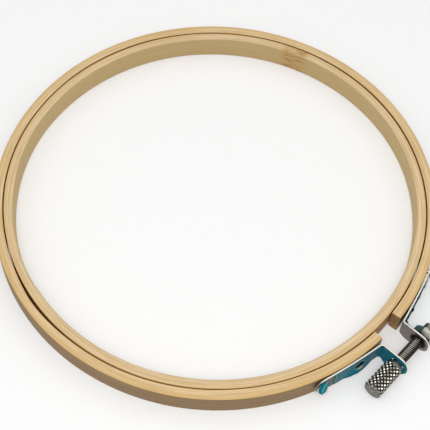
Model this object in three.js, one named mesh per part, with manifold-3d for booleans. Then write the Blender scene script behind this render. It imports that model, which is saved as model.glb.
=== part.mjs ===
// Wooden embroidery hoop: a closed inner ring, a split outer ring round it and a screw clamp across the
// split. The hoop lies flat on z = 0 with its clamp towards -Y and the thumbscrew's knob towards -X.
// Lengths are in millimetres and angles in degrees.
import * as THREE from 'three';
import { mergeVertices } from 'three/addons/utils/BufferGeometryUtils.js';
import Module from 'manifold-3d';

const wasm = await Module();
wasm.setup();

// Rings
const openingRadius = 75;
const innerRingWall = 3.5;
const ringClearance = 0.4;
const outerRingWall = 3.6;
const ringHeight = 9.5;
const rimRounding = 0.6;
const ringFacets = 96;
const leftEndFromCentre = 4.25;
const rightEndFromCentre = 6.1;
const backCutWidth = 0.3;

// Brackets, bent from sheet steel
const plateThickness = 0.6;
const plateBelowRim = 0.2;
const bendRadius = 0.8;
const bendFacets = 6;
const legAboveTable = 1.2;
const legLength = 28.4;
const legFacets = 5;
const legTilt = 14.3;
const legBowRadius = 238;
const legSeatGap = 0.2;
const legHoleAlong = 10;
const legHoleRadius = 2.2;
const earSpacing = 11.3;
const earAboveTable = 0.1;
const earLength = 12;
const earShoulderLength = 2;
const earCornerRadius = 3.8;
const cornerFacets = 8;
const screwHoleRadius = 2.6;

// Rivets, one to a bracket
const rivetFromTail = 2.6;
const rivetShankRadius = 1;
const rivetHeadRadius = 2.2;
const rivetHeadHeight = 2.2;
const rivetDomeSteps = 4;
const rivetTailRadius = 1.8;
const rivetTailHeight = 0.6;
const rivetTailSunk = 0.2;
const rivetClearance = 0.25;
const rivetFacets = 20;

// Thumbscrew and nut
const screwReach = 8.65;
const threadRadius = 2;
const threadPitch = 0.7;
const threadDepth = 0.35;
const threadFacets = 12;
const screwTipLength = 3.5;
const screwTipChamfer = 0.5;
const collarRadius = 2.9;
const collarLength = 1.4;
const knobRadius = 3.55;
const knobLength = 12;
const knobChamfer = 0.5;
const knurlsRound = 12;
const knurlsAlong = 6;
const knurlDepth = 0.4;
const turnedFacets = 24;
const nutAcrossFlats = 7;
const nutHeight = 3.2;
const nutChamferAngle = 30;
const nutTurn = 20;
const nutBoreClearance = 0.35;
const clampSeatGap = 0.3;

// Protective film left on the plates' outward faces
const filmThickness = 0.15;
const filmStandOff = 0.15;
const filmEdgeInset = 0.25;
const filmTornFromTail = 8;
const filmLooseHalfLength = 6.1;
const filmLooseSteps = 12;
const filmFlare = 1;
const filmLevels = 8;

// Sizes worked out from the ones above
const innerRingOuterRadius = openingRadius + innerRingWall;
const outerRingInnerRadius = innerRingOuterRadius + ringClearance;
const outerRadius = outerRingInnerRadius + outerRingWall;
const midHeight = ringHeight / 2;
const plateTop = ringHeight - plateBelowRim;
const legHeight = plateTop - legAboveTable;
const legMidHeight = plateTop - legHeight / 2;
const earInnerX = earSpacing / 2;
const earOuterX = earInnerX + plateThickness;
const rivetAlong = legLength - rivetFromTail;
const filmTornAlong = legLength - filmTornFromTail;
const filmOuterFace = plateThickness + filmStandOff + filmThickness;
const screwY = -(outerRadius + screwReach);

// Materials
const bambooInner = material('#cfae7a', 0.6, 0);
const bambooOuter = material('#d8b67c', 0.6, 0);
const steelPlate = material('#b9b4a8', 0.35, 1);
const steelTurned = material('#8c887c', 0.35, 1);
const tealFilm = material('#0a6f82', 0.25, 0);

function material(color, roughness, metalness) {
  return new THREE.MeshStandardMaterial({ color, roughness, metalness });
}

function radians(degrees) {
  return degrees * Math.PI / 180;
}

function degrees(angle) {
  return angle * 180 / Math.PI;
}

// Geometry from its points and triangles
function indexedGeometry(positions, index) {
  const geometry = new THREE.BufferGeometry();
  geometry.setAttribute('position', new THREE.Float32BufferAttribute(positions, 3));
  geometry.setIndex(index);
  return geometry;
}

// Joining and cutting
function toSolid(geometry) {
  const bare = geometry.clone();
  bare.deleteAttribute('normal');
  bare.deleteAttribute('uv');
  const merged = mergeVertices(bare, 1e-4);
  return new wasm.Manifold(new wasm.Mesh({
    numProp: 3,
    vertProperties: new Float32Array(merged.attributes.position.array),
    triVerts: new Uint32Array(merged.index.array),
  }));
}

function toGeometry(solid) {
  const mesh = solid.getMesh();
  return indexedGeometry(Array.from(mesh.vertProperties), Array.from(mesh.triVerts));
}

function cut(geometry, ...cutters) {
  return toGeometry(cutters.reduce((left, cutter) => left.subtract(toSolid(cutter)), toSolid(geometry)));
}

// A piece made for the nut's side, or its mirror image for the knob's side
function forSide(side, geometry) {
  if (side > 0) return geometry;
  const mirrored = geometry.clone().scale(-1, 1, 1);
  const index = mirrored.index.array;
  for (let i = 0; i < index.length; i += 3) [index[i], index[i + 1]] = [index[i + 1], index[i]];
  return mirrored;
}

// The rings' cross-section with rounded edges, as radius and height pairs
function ringProfile(innerRadius, radius) {
  const corners = [
    [innerRadius + rimRounding, rimRounding, 180],
    [radius - rimRounding, rimRounding, 270],
    [radius - rimRounding, ringHeight - rimRounding, 0],
    [innerRadius + rimRounding, ringHeight - rimRounding, 90],
  ];
  const points = [];
  for (const [centreR, centreZ, startAngle] of corners) {
    for (const turn of [0, 45, 90]) {
      const angle = radians(startAngle + turn);
      points.push([centreR + rimRounding * Math.cos(angle), centreZ + rimRounding * Math.sin(angle)]);
    }
  }
  return points;
}

// Carries a closed convex profile round the Z axis. Less than a full turn gets flat ends.
function sweptRing(profile, startAngle, endAngle, facets) {
  const closed = endAngle - startAngle >= 360;
  const rows = closed ? facets : facets + 1;
  const positions = [];
  for (let i = 0; i < rows; i++) {
    const angle = radians(startAngle + (endAngle - startAngle) * i / facets);
    for (const [r, z] of profile) positions.push(r * Math.cos(angle), r * Math.sin(angle), z);
  }
  const n = profile.length;
  const index = [];
  for (let i = 0; i < facets; i++) {
    const row = i * n;
    const next = ((i + 1) % rows) * n;
    for (let j = 0; j < n; j++) {
      const k = (j + 1) % n;
      index.push(row + j, next + j, next + k, row + j, next + k, row + k);
    }
  }
  if (!closed) {
    const last = facets * n;
    for (let j = 1; j < n - 1; j++) index.push(0, j, j + 1, last, last + j + 1, last + j);
  }
  return indexedGeometry(positions, index);
}

// The bracket's leg is a shallow arc about bowCentre. It comes nearest to the outer ring at legTilt from the
// -Y axis. Distances along the leg run from the corner of its ring-side face and the ear's gap-side face.
const bowCentre = onCircle(new THREE.Vector3(), radians(legTilt), outerRadius + legSeatGap - legBowRadius);
const cornerAngle = Math.asin((earInnerX - bowCentre.x) / legBowRadius);
const touchAlong = (radians(legTilt) - cornerAngle) * legBowRadius;
const earTipY = legPoint(0, 0).y - earLength;

// A point on a circle, at an angle from the -Y direction towards +X
function onCircle(centre, angle, radius) {
  return new THREE.Vector3(Math.sin(angle), -Math.cos(angle), 0).multiplyScalar(radius).add(centre);
}

function legAngle(along) {
  return cornerAngle + along / legBowRadius;
}

function legPoint(along, out) {
  return onCircle(bowCentre, legAngle(along), legBowRadius + out);
}

// Axes at a place on the leg: along it towards the tail, and square to it away from the ring
function legAxes(along) {
  const angle = legAngle(along);
  const outward = new THREE.Vector3(Math.sin(angle), -Math.cos(angle), 0);
  return { onward: new THREE.Vector3(-outward.y, outward.x, 0), outward };
}

// Places a shape drawn as (distance along the leg, height) and extruded away from the ring
function onLeg(geometry, out) {
  const { onward, outward } = legAxes(touchAlong);
  const origin = legPoint(touchAlong, out).addScaledVector(onward, -touchAlong);
  const frame = new THREE.Matrix4().makeBasis(onward, new THREE.Vector3(0, 0, 1), outward);
  return geometry.applyMatrix4(frame.setPosition(origin));
}

// Places a turned shape, drawn round the Y axis, square to the leg with its origin on the plate's outer face
function throughLeg(geometry, along, z) {
  const { onward, outward } = legAxes(along);
  const frame = new THREE.Matrix4().makeBasis(onward, outward, new THREE.Vector3(0, 0, -1));
  return geometry.applyMatrix4(frame.setPosition(legPoint(along, plateThickness).setZ(z)));
}

// Distance from the plate's outer face at the rivet, square to it, to where the ring has the given radius
function rivetDepth(radius) {
  const { onward, outward } = legAxes(rivetAlong);
  const seat = legPoint(rivetAlong, plateThickness);
  return seat.dot(outward) - Math.sqrt(radius ** 2 - seat.dot(onward) ** 2);
}

// The bent strip seen from above: places on its ring-side face from the tail round the bend to the ear's tip,
// each with the direction that face's back looks in and its distance along the leg
function stripPath(tailAlong, legStops) {
  const insideRadius = bendRadius + plateThickness;
  const bendX = earInnerX + insideRadius;
  const bendStart = Math.asin((bendX - bowCentre.x) / (legBowRadius + insideRadius));
  const bendCentre = onCircle(bowCentre, bendStart, legBowRadius + insideRadius);
  const bendAlong = (bendStart - cornerAngle) * legBowRadius;
  const places = [tailAlong, ...legStops]
    .filter((along) => along > bendAlong && along <= tailAlong)
    .map((along) => ({ at: legPoint(along, 0), out: legAxes(along).outward, along }));
  for (let i = 0; i <= bendFacets; i++) {
    const angle = bendStart + (Math.PI / 2 - bendStart) * i / bendFacets;
    const out = onCircle(new THREE.Vector3(), angle, 1);
    places.push({ at: bendCentre.clone().addScaledVector(out, -insideRadius), out, along: 0 });
  }
  const earTip = new THREE.Vector3(earInnerX, earTipY, 0);
  places.push({ at: earTip, out: new THREE.Vector3(1, 0, 0), along: 0 });
  return places;
}

// The strip between two offsets from its ring-side face, in levels of equal height. The lift adds to both
// offsets, by distance along the leg and height.
function bentStrip(places, from, to, levels = 1, lift = () => 0) {
  const positions = [];
  for (let level = 0; level <= levels; level++) {
    const z = ringHeight * level / levels;
    for (const { at, out, along } of places) {
      for (const distance of [from, to]) {
        const point = at.clone().addScaledVector(out, distance + lift(along, z));
        positions.push(point.x, point.y, z);
      }
    }
  }
  const last = places.length - 1;
  const index = [];
  const vertex = (level, place, face) => 2 * (level * places.length + place) + face;
  const quad = (...corners) => {
    const [a, b, c, d] = corners.map((corner) => vertex(...corner));
    index.push(a, b, c, a, c, d);
  };
  for (let i = 0; i < last; i++) {
    for (let k = 0; k < levels; k++) {
      quad([k, i, 0], [k, i + 1, 0], [k + 1, i + 1, 0], [k + 1, i, 0]);
      quad([k, i + 1, 1], [k, i, 1], [k + 1, i, 1], [k + 1, i + 1, 1]);
    }
    quad([levels, i, 0], [levels, i + 1, 0], [levels, i + 1, 1], [levels, i, 1]);
    quad([0, i + 1, 0], [0, i, 0], [0, i, 1], [0, i + 1, 1]);
  }
  for (let k = 0; k < levels; k++) {
    quad([k, 0, 1], [k, 0, 0], [k + 1, 0, 0], [k + 1, 0, 1]);
    quad([k, last, 0], [k, last, 1], [k + 1, last, 1], [k + 1, last, 0]);
  }
  return indexedGeometry(positions, index);
}

// The strip's side view on the leg, as (distance along, height), drawn inside the plate's edge by the inset.
// The tail is round unless it is torn off square.
function legOutline(length, inset, roundTail) {
  const low = legAboveTable + inset;
  const high = plateTop - inset;
  const radius = roundTail ? (high - low) / 2 : 0;
  const shape = new THREE.Shape();
  shape.moveTo(-bendRadius, low);
  shape.lineTo(length - radius, low);
  if (roundTail) shape.absarc(length - radius, low + radius, radius, -Math.PI / 2, Math.PI / 2, false);
  else shape.lineTo(length, high);
  shape.lineTo(-bendRadius, high);
  return shape;
}

// The strip's side view on the ear, as (y, height), drawn inside the plate's edge by the inset
function earOutline(inset) {
  const rootY = legPoint(0, 0).y + bendRadius;
  const shoulderY = legPoint(0, 0).y - plateThickness;
  const tipY = earTipY + inset;
  const legLow = legAboveTable + inset;
  const low = earAboveTable + inset;
  const high = plateTop - inset;
  const radius = earCornerRadius - inset;
  const shape = new THREE.Shape();
  shape.moveTo(rootY, legLow);
  shape.lineTo(shoulderY, legLow);
  shape.lineTo(shoulderY - earShoulderLength, low);
  shape.lineTo(tipY + radius, low);
  shape.absarc(tipY + radius, low + radius, radius, -Math.PI / 2, Math.PI, true);
  shape.absarc(tipY + radius, high - radius, radius, Math.PI, Math.PI / 2, true);
  shape.lineTo(rootY, high);
  return shape;
}

// The (y, height) plane of a drawn shape turned to face +X, from x = 0 over the given depth
function acrossX(shape, depth) {
  const options = { depth, bevelEnabled: false, curveSegments: cornerFacets };
  const geometry = new THREE.ExtrudeGeometry(shape, options);
  return geometry.rotateX(Math.PI / 2).rotateZ(Math.PI / 2);
}

function cylinderAlongX(radius, start, end, facets) {
  const length = end - start;
  const geometry = new THREE.CylinderGeometry(radius, radius, length, facets);
  return geometry.rotateZ(Math.PI / 2).translate(start + length / 2, screwY, midHeight);
}

// Trims a bent strip to its side views and opens the hole for the screw
function trimStrip(strip, legShape, earShape) {
  const reach = earOuterX + 2 * bendRadius;
  const options = { depth: reach, bevelEnabled: false, curveSegments: cornerFacets };
  const legZone = onLeg(new THREE.ExtrudeGeometry(legShape, options), -plateThickness);
  const trimmed = toSolid(strip).intersect(toSolid(legZone).add(toSolid(acrossX(earShape, reach))));
  return trimmed.subtract(toSolid(cylinderAlongX(screwHoleRadius, 0, reach, turnedFacets)));
}

// Brackets: one strip of sheet steel each, with holes for the screw and the rivet and a spare one between
function bracketGeometry() {
  const stops = [];
  for (let i = legFacets - 1; i > 0; i--) stops.push(legLength * i / legFacets);
  const strip = bentStrip(stripPath(legLength, stops), 0, plateThickness);
  const bracket = toGeometry(trimStrip(strip, legOutline(legLength, 0, true), earOutline(0)));
  return cut(bracket, rivetHole(), spareHole());
}

function spareHole() {
  const hole = new THREE.CylinderGeometry(legHoleRadius, legHoleRadius, earSpacing, turnedFacets);
  return throughLeg(hole, legHoleAlong, legMidHeight);
}

function rivetHole() {
  const depth = rivetDepth(outerRingInnerRadius - outerRingWall);
  const radius = rivetShankRadius + rivetClearance;
  const hole = new THREE.CylinderGeometry(radius, radius, depth + plateThickness, rivetFacets);
  return throughLeg(hole.translate(0, (plateThickness - depth) / 2, 0), rivetAlong, midHeight);
}

// Rivets: a domed head on the plate, a shank through plate and wood, and a tail spread inside the wood
const rivetTailDepth = rivetDepth(outerRingInnerRadius) - rivetTailSunk;

function rivetGeometry() {
  const profile = [
    new THREE.Vector2(0, -rivetTailDepth),
    new THREE.Vector2(rivetTailRadius, -rivetTailDepth),
    new THREE.Vector2(rivetTailRadius, rivetTailHeight - rivetTailDepth),
    new THREE.Vector2(rivetShankRadius, rivetTailHeight - rivetTailDepth),
    new THREE.Vector2(rivetShankRadius, rivetClearance),
  ];
  for (let i = 0; i <= rivetDomeSteps; i++) {
    const angle = Math.PI / 2 * i / rivetDomeSteps;
    const radius = i === rivetDomeSteps ? 0 : rivetHeadRadius * Math.cos(angle);
    profile.push(new THREE.Vector2(radius, rivetClearance + rivetHeadHeight * Math.sin(angle)));
  }
  return throughLeg(new THREE.LatheGeometry(profile, rivetFacets), rivetAlong, midHeight);
}

function rivetTailRecess() {
  const top = rivetTailHeight + rivetClearance - rivetTailDepth;
  const radius = rivetTailRadius + rivetClearance;
  const recess = new THREE.CylinderGeometry(radius, radius, outerRingWall, rivetFacets);
  return throughLeg(recess.translate(0, top - outerRingWall / 2, 0), rivetAlong, midHeight);
}

// Film: follows the plate's outward face and is torn off short of the rivet. Round the plate's spare hole it
// has come unstuck, and its lower edge flares away from the plate.
function filmLift(along, z) {
  const fromMiddle = Math.min(Math.abs(along - legHoleAlong) / filmLooseHalfLength, 1);
  const down = THREE.MathUtils.clamp((plateTop - z) / legHeight, 0, 1);
  return filmFlare * Math.cos(Math.PI / 2 * fromMiddle) * down ** 2;
}

function filmGeometry() {
  const stops = [];
  for (let i = filmLooseSteps; i >= 0; i--) {
    stops.push(legHoleAlong + filmLooseHalfLength * (2 * i / filmLooseSteps - 1));
  }
  const inner = plateThickness + filmStandOff;
  const path = stripPath(filmTornAlong, stops);
  const strip = bentStrip(path, inner, inner + filmThickness, filmLevels, filmLift);
  const film = trimStrip(strip, legOutline(filmTornAlong, filmEdgeInset, false), earOutline(filmEdgeInset));
  return cut(toGeometry(film), spareHole());
}

// Rings
function ringAngle(fromCentre) {
  return degrees(Math.asin(fromCentre / outerRadius));
}

function outerHalfGeometry(side, endFromCentre) {
  const startAngle = -90 + ringAngle(endFromCentre);
  const endAngle = 90 - ringAngle(backCutWidth / 2);
  const profile = ringProfile(outerRingInnerRadius, outerRadius);
  const half = sweptRing(profile, startAngle, endAngle, ringFacets / 2);
  return forSide(side, cut(half, rivetHole(), rivetTailRecess()));
}

// Nut: hexagonal, its corners chamfered on both faces, seated on the right ear's film
const nutSeatX = earInnerX + filmOuterFace + clampSeatGap;

function nutGeometry() {
  const cornerRadius = nutAcrossFlats / 2 / Math.cos(Math.PI / 6);
  const flatRadius = nutAcrossFlats / 2;
  const chamferDepth = (cornerRadius - flatRadius) * Math.tan(radians(nutChamferAngle));
  const hexagon = new THREE.CylinderGeometry(cornerRadius, cornerRadius, nutHeight, 6);
  const envelope = [
    new THREE.Vector2(0, -nutHeight / 2),
    new THREE.Vector2(flatRadius, -nutHeight / 2),
    new THREE.Vector2(cornerRadius + chamferDepth, -nutHeight / 2 + 2 * chamferDepth),
    new THREE.Vector2(cornerRadius + chamferDepth, nutHeight / 2 - 2 * chamferDepth),
    new THREE.Vector2(flatRadius, nutHeight / 2),
    new THREE.Vector2(0, nutHeight / 2),
  ];
  const turned = toSolid(new THREE.LatheGeometry(envelope, turnedFacets));
  const blank = toGeometry(toSolid(hexagon).intersect(turned))
    .rotateZ(-Math.PI / 2).rotateX(radians(nutTurn))
    .translate(nutSeatX + nutHeight / 2, screwY, midHeight);
  const boreRadius = threadRadius + nutBoreClearance;
  return cut(blank, cylinderAlongX(boreRadius, 0, 2 * nutSeatX, 2 * threadFacets));
}

// Thumbscrew, drawn along +X with the knob's outer end at x = 0 and its axis on the X axis
const knobOuterX = -(earInnerX + filmOuterFace + clampSeatGap + collarLength + knobLength);
const shankStart = knobLength + collarLength / 2;
const screwEnd = nutSeatX + nutHeight + screwTipLength - knobOuterX;

// Diamond knurl: peaks and valleys alternate both ways over a grid, so that each peak is a four-sided
// pyramid. A plain row at each end makes the chamfer down to the end face.
function knurledGeometry() {
  const columns = 2 * knurlsRound;
  const rows = 2 * knurlsAlong + 2;
  const positions = [0, 0, 0, knobLength, 0, 0];
  const index = [];
  for (let i = 0; i <= rows; i++) {
    const atEnd = i === 0 || i === rows;
    const x = atEnd ? i / rows * knobLength
      : knobChamfer + (knobLength - 2 * knobChamfer) * (i - 1) / (rows - 2);
    for (let j = 0; j < columns; j++) {
      const angle = 2 * Math.PI * j / columns;
      const radius = knobRadius - (atEnd ? knobChamfer : (i + j) % 2 * knurlDepth);
      positions.push(x, radius * Math.cos(angle), radius * Math.sin(angle));
    }
  }
  const at = (i, j) => 2 + i * columns + j % columns;
  for (let i = 0; i < rows; i++) {
    for (let j = 0; j < columns; j++) {
      const [a, b, c, d] = [at(i, j), at(i, j + 1), at(i + 1, j + 1), at(i + 1, j)];
      if ((i + j) % 2) index.push(a, b, c, a, c, d);
      else index.push(a, b, d, b, c, d);
    }
  }
  for (let j = 0; j < columns; j++) {
    index.push(0, at(0, j + 1), at(0, j), 1, at(rows, j), at(rows, j + 1));
  }
  return indexedGeometry(positions, index);
}

// Right-hand thread: crest and root run as two helices side by side
function threadGeometry(start, end) {
  const turns = Math.ceil((end - start) / threadPitch) + 2;
  const rows = 2 * turns;
  const positions = [];
  for (let i = 0; i <= rows; i++) {
    for (let j = 0; j < threadFacets; j++) {
      const angle = 2 * Math.PI * j / threadFacets;
      const radius = i % 2 ? threadRadius - threadDepth : threadRadius;
      const x = start + threadPitch * (i / 2 - 1 + j / threadFacets);
      positions.push(x, radius * Math.cos(angle), radius * Math.sin(angle));
    }
  }
  const count = positions.length / 3;
  positions.push(start - threadPitch, 0, 0, start + threadPitch * (turns - 0.5), 0, 0);
  const at = (i, j) => (j === threadFacets ? (i + 2) * threadFacets : i * threadFacets + j);
  const index = [];
  for (let i = 0; i < rows - 2; i++) {
    for (let j = 0; j < threadFacets; j++) {
      const [a, b, c, d] = [at(i, j), at(i, j + 1), at(i + 1, j + 1), at(i + 1, j)];
      index.push(a, b, c, a, c, d);
    }
  }
  const loop = (row) => {
    const points = [];
    for (let j = 0; j <= threadFacets; j++) points.push(at(row, j));
    points.push(at(row + 1, 0));
    return points;
  };
  const first = loop(0);
  const last = loop(rows - 2);
  for (let k = 0; k < first.length; k++) {
    const next = (k + 1) % first.length;
    index.push(count, first[next], first[k], count + 1, last[k], last[next]);
  }
  return indexedGeometry(positions, index);
}

function thumbscrewGeometry() {
  const turned = (points) => {
    const profile = points.map(([x, radius]) => new THREE.Vector2(radius, x));
    return toSolid(new THREE.LatheGeometry(profile, turnedFacets).rotateZ(-Math.PI / 2));
  };
  const collarEnd = knobLength + collarLength;
  const collar = turned([
    [knobLength / 2, 0], [knobLength / 2, collarRadius], [collarEnd, collarRadius], [collarEnd, 0],
  ]);
  const outsideThread = threadRadius + threadDepth;
  const shankEnvelope = turned([
    [shankStart, 0], [shankStart, outsideThread], [screwEnd - screwTipChamfer - threadDepth, outsideThread],
    [screwEnd, threadRadius - screwTipChamfer], [screwEnd, 0],
  ]);
  const shank = toSolid(threadGeometry(shankStart, screwEnd)).intersect(shankEnvelope);
  return toGeometry(toSolid(knurledGeometry()).add(collar).add(shank));
}

// Assembly. The group is centred on the hoop, then moved so that the whole part's middle is at the origin.
const hoop = new THREE.Group();

function addPiece(name, geometry, pieceMaterial) {
  const mesh = new THREE.Mesh(geometry, pieceMaterial);
  mesh.name = name;
  hoop.add(mesh);
  return mesh;
}

const innerProfile = ringProfile(openingRadius, innerRingOuterRadius);
addPiece('inner_ring', sweptRing(innerProfile, 0, 360, ringFacets), bambooInner);
const sides = [
  { name: 'left', side: -1, endFromCentre: leftEndFromCentre },
  { name: 'right', side: 1, endFromCentre: rightEndFromCentre },
];
for (const { name, side, endFromCentre } of sides) {
  addPiece(`outer_ring_${name}_half`, outerHalfGeometry(side, endFromCentre), bambooOuter);
  addPiece(`${name}_bracket`, forSide(side, bracketGeometry()), steelPlate);
  addPiece(`${name}_rivet`, forSide(side, rivetGeometry()), steelTurned);
  addPiece(`${name}_film`, forSide(side, filmGeometry()), tealFilm);
}
addPiece('clamp_nut', nutGeometry(), steelTurned);
addPiece('thumbscrew', thumbscrewGeometry(), steelTurned).position.set(knobOuterX, screwY, midHeight);

hoop.position.y = (-earTipY - outerRadius) / 2;

const embroideryHoop = new THREE.Group();
embroideryHoop.add(hoop);
export default embroideryHoop;
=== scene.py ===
import math

import bmesh
import bpy
from mathutils import Matrix, Vector, noise
from mathutils.geometry import tessellate_polygon
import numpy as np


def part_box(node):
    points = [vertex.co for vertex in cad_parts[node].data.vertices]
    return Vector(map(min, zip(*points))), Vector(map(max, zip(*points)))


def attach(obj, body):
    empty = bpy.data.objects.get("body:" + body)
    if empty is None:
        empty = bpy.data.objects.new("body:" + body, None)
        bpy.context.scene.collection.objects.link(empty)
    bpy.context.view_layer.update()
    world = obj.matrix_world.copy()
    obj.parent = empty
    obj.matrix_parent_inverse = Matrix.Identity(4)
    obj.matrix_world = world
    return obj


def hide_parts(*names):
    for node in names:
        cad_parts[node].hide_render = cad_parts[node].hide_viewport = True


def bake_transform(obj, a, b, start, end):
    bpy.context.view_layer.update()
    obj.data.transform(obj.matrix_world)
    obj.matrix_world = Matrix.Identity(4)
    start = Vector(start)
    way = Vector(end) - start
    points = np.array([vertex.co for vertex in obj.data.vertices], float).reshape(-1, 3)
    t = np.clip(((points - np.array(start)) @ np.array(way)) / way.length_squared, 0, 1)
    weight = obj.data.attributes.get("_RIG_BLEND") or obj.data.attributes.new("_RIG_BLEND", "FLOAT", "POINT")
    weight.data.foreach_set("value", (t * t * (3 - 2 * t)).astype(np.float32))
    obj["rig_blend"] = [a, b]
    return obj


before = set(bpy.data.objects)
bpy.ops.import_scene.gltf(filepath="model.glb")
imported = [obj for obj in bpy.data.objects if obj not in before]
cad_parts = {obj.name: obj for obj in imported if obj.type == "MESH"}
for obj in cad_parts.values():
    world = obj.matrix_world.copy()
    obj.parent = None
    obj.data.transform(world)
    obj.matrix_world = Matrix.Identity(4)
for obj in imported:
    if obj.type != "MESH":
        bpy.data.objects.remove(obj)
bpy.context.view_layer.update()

# View: the hoop lies flat and is seen from above, from the knob's side, with a long lens. The camera turns
# about the rings' centre, which stands RING_SHIFT behind the middle of the whole part.
MM = 0.001
RING_SHIFT = sum(corner.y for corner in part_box("inner_ring")) / 2
RING_CENTRE = Vector((0, RING_SHIFT, 0))
VIEW_AZIMUTH = math.radians(-49.655)
VIEW_ELEVATION = math.radians(57.827)
VIEW_ROLL = math.radians(2.844)
VIEW_DISTANCE = 414.27 * MM
VIEW_OFFSET = Vector((0.05, 3.22, 0)) * MM
SENSOR_WIDTH, LENS = 36, 91.2

camera = bpy.data.objects.new("camera", bpy.data.cameras.new("camera"))
bpy.context.scene.collection.objects.link(camera)
camera.data.sensor_width = SENSOR_WIDTH
camera.data.lens = LENS
turn = Matrix.Rotation(VIEW_AZIMUTH, 4, "Z") @ Matrix.Rotation(math.pi / 2 - VIEW_ELEVATION, 4, "X")
turn = turn @ Matrix.Rotation(VIEW_ROLL, 4, "Z")
place = Vector((-VIEW_OFFSET.x, -VIEW_OFFSET.y, VIEW_DISTANCE))
camera.matrix_world = Matrix.Translation(RING_CENTRE) @ turn @ Matrix.Translation(place)
bpy.context.scene.camera = camera

# Floor and light: a matt white studio table in a room with a bright soft ceiling, dim walls, a window on each
# side and a soft lamp over the hoop's near side. The dim walls give the steel its dark bands, the table keeps
# a shadow, and where a low view sees past the table there is a pale backdrop.
FLOOR_SIZE = 16.0
FLOOR_BELOW = 0.1 * MM
FLOOR_SHOWN_WHITE = 0.3
PAPER_GRAIN = 20 / 3 * MM
BACKDROP_LIGHT = 0.78
WALL_LIGHT, CEILING_LIGHT = 0.12, 0.9
WALL_TOP, CEILING_EDGE = 0.33, 0.78
WINDOW_LIGHT = 0.45
WINDOW_DIRECTION = (math.cos(VIEW_AZIMUTH), math.sin(VIEW_AZIMUTH), 0)
WINDOW_EDGE, WINDOW_MIDDLE = 0.45, 0.9
LAMP_SIZE, LAMP_POWER = 0.3, 0.9
LAMP_PLACE = Vector((-0.2, -0.17, 0.5))


def linear(code):
    """An sRGB hex colour as the linear colour that a socket takes."""
    channels = [int(code[i:i + 2], 16) / 255 for i in (1, 3, 5)]
    return tuple(c / 12.92 if c <= 0.04045 else ((c + 0.055) / 1.055) ** 2.4 for c in channels) + (1.0,)


def node(tree, kind, links=None, **settings):
    """Adds a node with its settings. Links names inputs by label or number, and gives each a plain value, an
    output, or a node, which stands for its first output in use."""
    made = tree.nodes.new("ShaderNode" + kind)
    for name, value in settings.items():
        setattr(made, name, value)
    for name, value in (links or {}).items():
        if isinstance(value, bpy.types.Node):
            value = next(output for output in value.outputs if output.enabled)
        if isinstance(value, bpy.types.NodeSocket):
            tree.links.new(value, made.inputs[name])
        else:
            made.inputs[name].default_value = value
    return made


def new_material(name):
    made = bpy.data.materials.new(name)
    made.use_nodes = True
    made.node_tree.nodes.clear()
    return made, made.node_tree


# Uncoated paper: white and quite matt, with a faint unevenness. Its grain is drawn several millimetres wide,
# as the real one is too fine to show.
paper, tree = new_material("white table paper, uncoated")
grain = node(tree, "TexNoise", {"Scale": FLOOR_SIZE / PAPER_GRAIN, "Detail": 2.0})
tone = node(tree, "Mix", {0: grain, 6: linear("#f9f9f8"), 7: linear("#fcfcfc")}, data_type="RGBA")
matt = node(tree, "BsdfPrincipled", {"Base Color": tone, "Roughness": 0.9})
shown = node(tree, "Emission", {"Color": linear("#ffffff"), "Strength": 1.0})
rays = node(tree, "LightPath").outputs
seen = node(tree, "Math", {0: rays["Is Camera Ray"], 1: rays["Is Glossy Ray"]}, operation="MAXIMUM")
seen = node(tree, "Math", {0: seen, 1: rays["Is Transmission Ray"]}, operation="MAXIMUM")
share = node(tree, "Math", {0: seen, 1: FLOOR_SHOWN_WHITE}, operation="MULTIPLY")
lifted = node(tree, "MixShader", {0: share, 1: matt, 2: shown})
node(tree, "OutputMaterial", {"Surface": lifted})
half = FLOOR_SIZE / 2
floor_mesh = bpy.data.meshes.new("floor")
floor_corners = [(-half, -half, 0), (half, -half, 0), (half, half, 0), (-half, half, 0)]
floor_mesh.from_pydata(floor_corners, [], [(0, 1, 2, 3)])
floor_mesh.materials.append(paper)
floor = bpy.data.objects.new("floor", floor_mesh)
bpy.context.scene.collection.objects.link(floor)
floor.location.z = -FLOOR_BELOW

world = bpy.data.worlds.new("room")
world.use_nodes = True
bpy.context.scene.world = world
tree = world.node_tree
tree.nodes.clear()
direction = node(tree, "TexCoord").outputs["Generated"]
upward = node(tree, "SeparateXYZ", {0: direction}).outputs["Z"]
overhead = node(tree, "MapRange", {"Value": upward, "From Min": WALL_TOP, "From Max": CEILING_EDGE,
                                   "To Min": WALL_LIGHT, "To Max": CEILING_LIGHT})
sideways = node(tree, "VectorMath", {0: direction, 1: WINDOW_DIRECTION}, operation="DOT_PRODUCT")
sideways = node(tree, "Math", {0: sideways}, operation="ABSOLUTE")
window = node(tree, "MapRange", {"Value": sideways, "From Min": WINDOW_EDGE, "From Max": WINDOW_MIDDLE,
                                 "To Min": 0.0, "To Max": WINDOW_LIGHT})
strength = node(tree, "Math", {0: overhead, 1: window}, operation="ADD")
seen_past = node(tree, "LightPath").outputs["Is Camera Ray"]
strength = node(tree, "Mix", {0: seen_past, 2: strength, 3: BACKDROP_LIGHT}, data_type="FLOAT")
room = node(tree, "Background", {"Color": linear("#ffffff"), "Strength": strength})
node(tree, "OutputWorld", {"Surface": room})

lamp_data = bpy.data.lights.new("overhead lamp", "AREA")
lamp_data.shape = "DISK"
lamp_data.size = LAMP_SIZE
lamp_data.energy = LAMP_POWER
lamp = bpy.data.objects.new("overhead lamp", lamp_data)
bpy.context.scene.collection.objects.link(lamp)
lamp.location = RING_CENTRE + LAMP_PLACE
lamp.rotation_euler = (RING_CENTRE - lamp.location).to_track_quat("-Z", "Y").to_euler()

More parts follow.
